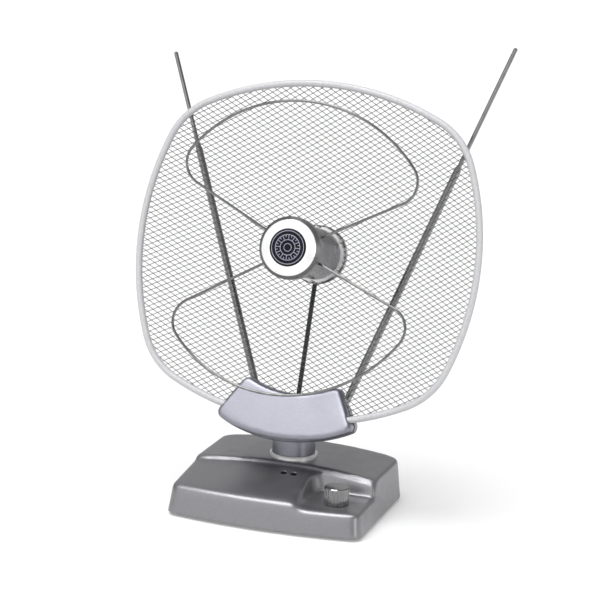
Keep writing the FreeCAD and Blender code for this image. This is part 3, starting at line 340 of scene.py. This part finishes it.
def dish_n(h, v):
    """Where the middle of the sheet lies in front of the reflector's plane."""
    across = (h / (RIM_HALF_WIDTH - RIM_WIRE_RADIUS)) ** 2
    up = (v / (RIM_HALF_HEIGHT - RIM_WIRE_RADIUS)) ** 2
    return -DISH_DEPTH * (1 - across - up + DISH_CORNER_LIFT * across * up) - SHEET_THICKNESS / 2


def edge_point(inner, outer, inner_excess, outer_excess):
    """The point between two others where the mesh ends."""
    share = inner_excess / (inner_excess - outer_excess)
    return inner + (outer - inner) * share


def strand_runs(points, rises):
    """Cuts one strand where the mesh ends, and moves each run's ends out to that edge."""
    excess = mesh_excess(points[:, 0], points[:, 1])
    inside = excess < 0
    starts = np.flatnonzero(inside & ~np.roll(inside, 1))
    for start in starts:
        stop = start
        while inside[stop + 1]:
            stop += 1
        run = points[start:stop + 1]
        rise = rises[start:stop + 1]
        first = edge_point(points[start], points[start - 1], excess[start], excess[start - 1])
        last = edge_point(points[stop], points[stop + 1], excess[stop], excess[stop + 1])
        yield np.vstack([first, run, last]), np.concatenate([[0], rise, [0]])


def tube_rings(line, radius, sides):
    """Rings of points round a line that lies about in the reflector's plane, each square to it."""
    ahead = np.gradient(line, axis=0)
    ahead /= np.linalg.norm(ahead, axis=1)[:, None]
    across = np.cross(ahead, OUT_OF_PANEL)
    across /= np.linalg.norm(across, axis=1)[:, None]
    over = np.cross(across, ahead)
    turn = np.linspace(0, 2 * math.pi, sides, endpoint=False)
    ring = np.cos(turn)[:, None] * across[:, None] + np.sin(turn)[:, None] * over[:, None]
    return line[:, None] + radius * ring


def add_tube(vertices, faces, line, radius, sides):
    """Adds a closed round bar along a line to the lists of a mesh."""
    rings = tube_rings(line, radius, sides)
    base = len(vertices)
    vertices.extend(rings.reshape(-1, 3))
    for ring in range(len(line) - 1):
        for side in range(sides):
            near, far = base + ring * sides, base + (ring + 1) * sides
            after = (side + 1) % sides
            faces.append((near + side, near + after, far + after, far + side))
    last = base + (len(line) - 1) * sides
    faces.append(tuple(reversed(range(base, base + sides))))
    faces.append(tuple(range(last, last + sides)))


def make_wire_mesh():
    """Two families of strands woven over and under each other, bent to the dish."""
    count = int(2 * RIM_HALF_WIDTH / STRAND_STEP_H)
    steps = np.arange(-count, count + 1)
    vertices, faces = [], []
    for lean in (-1, 1):
        for strand in steps:
            h = STRAND_STEP_H * (steps + strand)
            v = STRAND_STEP_V * (steps - strand) * lean
            over = np.where((steps + strand) % 2 == 0, 1, -1) * lean * WEAVE_RISE
            for flat, rise in strand_runs(np.column_stack([h, v]), over):
                line = np.column_stack([flat, dish_n(flat[:, 0], flat[:, 1]) + rise])
                add_tube(vertices, faces, line, STRAND_RADIUS, STRAND_SIDES)
    piece = link("wire_mesh", vertices, faces)
    piece.data.transform(PANEL)
    piece.data.materials.append(FINISHES["mesh_wire"])
    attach(piece, "head")
    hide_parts("reflector_mesh")


# Moulded shells: solids whose outer edges are softened

SHELL_PACE = 0.5
SHELL_LEAST_PASSES = 3
BASE_VOXEL = 1.3 * MM
BASE_PASSES = 60
BASE_HELD_UNDER = 7.0 * MM
BASE_SOFT_OVER = 13.0 * MM
BASE_FRONT_EDGE = 24.0 * MM
BASE_SIDE_EDGE = 12.0 * MM
BASE_EDGE_BLEND = 8.0 * MM
BASE_DECK_SHARE = 0.08
BASE_SIDE_SHARE = 0.25
BASE_CORNER_REACH = 14.0 * MM
BASE_HELD_SHARE = 0.4
BASE_HOLD = {
    "power_lamp": 5.0 * MM,
    "signal_lamp": 5.0 * MM,
    "swivel_ring": 4.0 * MM,
    "coax_socket": 6.0 * MM,
    "power_jack": 6.0 * MM,
}
SADDLE_VOXEL = 1.0 * MM
SADDLE_PASSES = 14


def base_softness(points):
    """How far each point may be smoothed, from 0 to 1.

    The front edge is softest. The sides and the deck are crisper, and the foot and the seats are held.
    """
    low, high = (np.array(corner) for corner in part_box("base_housing"))
    from_front = points[:, 1] - low[1]
    from_side = np.minimum(points[:, 0] - low[0], high[0] - points[:, 0])
    along_front = np.clip(1 - (from_front - BASE_FRONT_EDGE) / BASE_EDGE_BLEND, 0, 1)
    along_side = np.clip(1 - (from_side - BASE_SIDE_EDGE) / BASE_EDGE_BLEND, 0, 1)
    off_corner = np.clip(from_side / BASE_CORNER_REACH, BASE_SIDE_SHARE, 1)
    soft = np.maximum(along_front * off_corner, along_side * BASE_SIDE_SHARE)
    soft = np.maximum(soft, BASE_DECK_SHARE)
    soft *= np.clip((points[:, 2] - BASE_HELD_UNDER) / (BASE_SOFT_OVER - BASE_HELD_UNDER), 0, 1)
    for name, reach in BASE_HOLD.items():
        near, far = (np.array(corner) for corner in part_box(name))
        away = np.linalg.norm(np.maximum(np.maximum(near - points, points - far), 0), axis=1)
        soft = np.minimum(soft, np.clip(away / reach - BASE_HELD_SHARE, 0, 1))
    return soft


def even_softness(points):
    """The same for all points."""
    return np.ones(len(points))


def remeshed(name, node, voxel):
    """A copy of a solid's mesh, made again of even squares."""
    piece = bpy.data.objects.new(name, node.data.copy())
    piece.matrix_world = node.matrix_world
    SCENE.collection.objects.link(piece)
    grid = piece.modifiers.new("grid", "REMESH")
    grid.mode = "VOXEL"
    grid.voxel_size = voxel
    graph = bpy.context.evaluated_depsgraph_get()
    mesh = bpy.data.meshes.new_from_object(piece.evaluated_get(graph))
    mesh.name = name
    piece.modifiers.clear()
    piece.data = mesh
    return piece


def smooth_mesh(mesh, passes, softness):
    """Moves each point towards the middle of its neighbours, pass by pass."""
    count = len(mesh.vertices)
    points = np.empty(3 * count, dtype=np.float32)
    mesh.vertices.foreach_get("co", points)
    points = points.reshape(-1, 3).astype(float)
    pairs = np.empty(2 * len(mesh.edges), dtype=np.int32)
    mesh.edges.foreach_get("vertices", pairs)
    near, far = pairs.reshape(-1, 2).T
    ends = np.concatenate([near, far])
    others = np.concatenate([far, near])
    neighbours = np.bincount(ends, minlength=count)[:, None]
    soft = softness(points)[:, None]
    for step in range(passes):
        share = np.maximum(soft, step < SHELL_LEAST_PASSES)
        total = np.column_stack([np.bincount(ends, points[others, axis], count) for axis in range(3)])
        points += SHELL_PACE * share * (total / neighbours - points)
    mesh.vertices.foreach_set("co", points.astype(np.float32).ravel())
    mesh.shade_smooth()


def make_shell(name, node, body, paint, voxel, passes, softness):
    """A softened copy of a solid, in its place."""
    piece = remeshed(name, NODES[node], voxel)
    smooth_mesh(piece.data, passes, softness)
    piece.data.materials.clear()
    piece.data.materials.append(FINISHES[paint])
    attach(piece, body)
    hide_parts(node)


# Hub emblem: fine rings and ticks

EMBLEM_RINGS = (3.2 * MM, 6.4 * MM, 10.6 * MM, 13.8 * MM)
EMBLEM_TICKS = 24
EMBLEM_LINE = 0.24 * MM
EMBLEM_LINE_SIDES = 6
EMBLEM_RING_POINTS = 97
EMBLEM_INK = ((0.42, 0.42, 0.56, 1), (0.55, 0.55, 0.68, 1))
EMBLEM_INK_GRAIN = 2.0 * MM


def emblem_print():
    """Pale ink of the rings and ticks."""
    material, shader = new_material("emblem_print")
    spread(material, noise(material, EMBLEM_INK_GRAIN), shader.inputs["Base Color"], *EMBLEM_INK)
    set_sockets(shader, Roughness=0.35)
    return material


def make_emblem_print():
    """Fine lines that stand a little out of the emblem's face."""
    inverse = PANEL.inverted()
    face_n = max((inverse @ v.co).z for v in NODES["hub_emblem"].data.vertices)
    vertices, faces = [], []
    turn = np.linspace(0, 2 * math.pi, EMBLEM_RING_POINTS)
    height = np.full(EMBLEM_RING_POINTS, face_n)
    for radius in EMBLEM_RINGS:
        line = np.column_stack([radius * np.cos(turn), radius * np.sin(turn), height])
        add_tube(vertices, faces, line, EMBLEM_LINE, EMBLEM_LINE_SIDES)
    for tick in range(EMBLEM_TICKS):
        angle = 2 * math.pi * tick / EMBLEM_TICKS
        inner, outer = EMBLEM_RINGS[1], EMBLEM_RINGS[2]
        if tick % 2:
            inner = (inner + outer) / 2
        ends = np.array([[r * math.cos(angle), r * math.sin(angle), face_n] for r in (inner, outer)])
        add_tube(vertices, faces, ends, EMBLEM_LINE, EMBLEM_LINE_SIDES)
    piece = link("emblem_print", vertices, faces)
    piece.data.transform(PANEL)
    piece.data.materials.append(emblem_print())
    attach(piece, "head")


# Floor, light and camera

FLOOR_REACH = 12.0
FLOOR_COLOUR = grey(0.74)
FLOOR_GLOW = 0.25
WORLD_STRENGTH = 0.40

# Soft lights: strength, width across the sky, and where each stands, as azimuth and elevation

LIGHTS = {
    "top": (1.9, 38.0, -40.0, 73.0),
    "front": (1.1, 80.0, -18.0, 26.0),
    "side": (0.5, 26.0, 68.0, 10.0),
    "back": (0.14, 60.0, -162.0, 30.0),
}

# Camera at the photograph's viewing angle

CAMERA_AT = Vector((0.59759, -1.87829, 0.64916))
CAMERA_TARGET = Vector((0.00852, -0.03373, 0.18512))
CAMERA_ROLL = math.radians(2.52)
CAMERA_LENS = 143.68
CAMERA_SENSOR = 36.0


def seen_rays(tree):
    """One for rays from the camera, or by way of metal and glass; zero for rays that light the object."""
    path = tree.nodes.new("ShaderNodeLightPath")
    seen = path.outputs["Is Camera Ray"]
    for ray in ("Is Glossy Ray", "Is Transmission Ray"):
        either = tree.nodes.new("ShaderNodeMath")
        either.operation = "MAXIMUM"
        tree.links.new(seen, either.inputs[0])
        tree.links.new(path.outputs[ray], either.inputs[1])
        seen = either.outputs["Value"]
    return seen


def floor_material():
    """Matt pale grey that looks white and keeps the object's shadow."""
    material, shader = new_material("floor")
    set_sockets(
        shader, Base_Color=FLOOR_COLOUR, Roughness=0.9, Specular_IOR_Level=0.0, Emission_Color=(1, 1, 1, 1),
    )
    tree = material.node_tree
    glow = tree.nodes.new("ShaderNodeMath")
    glow.operation = "MULTIPLY"
    glow.inputs[1].default_value = FLOOR_GLOW
    tree.links.new(seen_rays(tree), glow.inputs[0])
    tree.links.new(glow.outputs["Value"], shader.inputs["Emission Strength"])
    return material


def make_floor():
    """A wide square under the feet."""
    square = ((-1, -1), (1, -1), (1, 1), (-1, 1))
    corners = [(x * FLOOR_REACH, y * FLOOR_REACH, cad_low.z) for x, y in square]
    floor = link("floor", corners, [(0, 1, 2, 3)], smooth=False)
    floor.data.materials.append(floor_material())


def light_scene():
    """An even white surround and the soft lights."""
    world = bpy.data.worlds.new("studio")
    SCENE.world = world
    world.use_nodes = True
    set_sockets(world.node_tree.nodes["Background"], Color=(1, 1, 1, 1), Strength=WORLD_STRENGTH)
    for name, (strength, width, azimuth, elevation) in LIGHTS.items():
        light = bpy.data.lights.new(name, "SUN")
        light.energy = strength
        light.angle = math.radians(width)
        across, up = math.radians(azimuth), math.radians(elevation)
        towards = Vector((
            math.sin(across) * math.cos(up),
            -math.cos(across) * math.cos(up),
            math.sin(up),
        ))
        lamp = bpy.data.objects.new(name, light)
        lamp.rotation_mode = "QUATERNION"
        lamp.rotation_quaternion = towards.to_track_quat("Z", "Y")
        SCENE.collection.objects.link(lamp)


def make_camera():
    """The camera, turned towards its target and rolled a little."""
    data = bpy.data.cameras.new("camera")
    data.lens = CAMERA_LENS
    data.sensor_width = CAMERA_SENSOR
    camera = bpy.data.objects.new("camera", data)
    camera.location = CAMERA_AT
    camera.rotation_mode = "QUATERNION"
    ahead = (CAMERA_TARGET - CAMERA_AT).to_track_quat("-Z", "Y")
    camera.rotation_quaternion = ahead @ Matrix.Rotation(CAMERA_ROLL, 3, "Z").to_quaternion()
    SCENE.collection.objects.link(camera)
    SCENE.camera = camera


dress_nodes()
make_wire_mesh()
make_shell(
    "base_shell", "base_housing", "base", "base_paint", BASE_VOXEL, BASE_PASSES, base_softness,
)
make_shell(
    "saddle_shell", "saddle_front", "head", "saddle_paint", SADDLE_VOXEL, SADDLE_PASSES, even_softness,
)
make_emblem_print()
make_floor()
light_scene()
make_camera()
SCENE.view_settings.view_transform = "Standard"

bpy.context.view_layer.update()
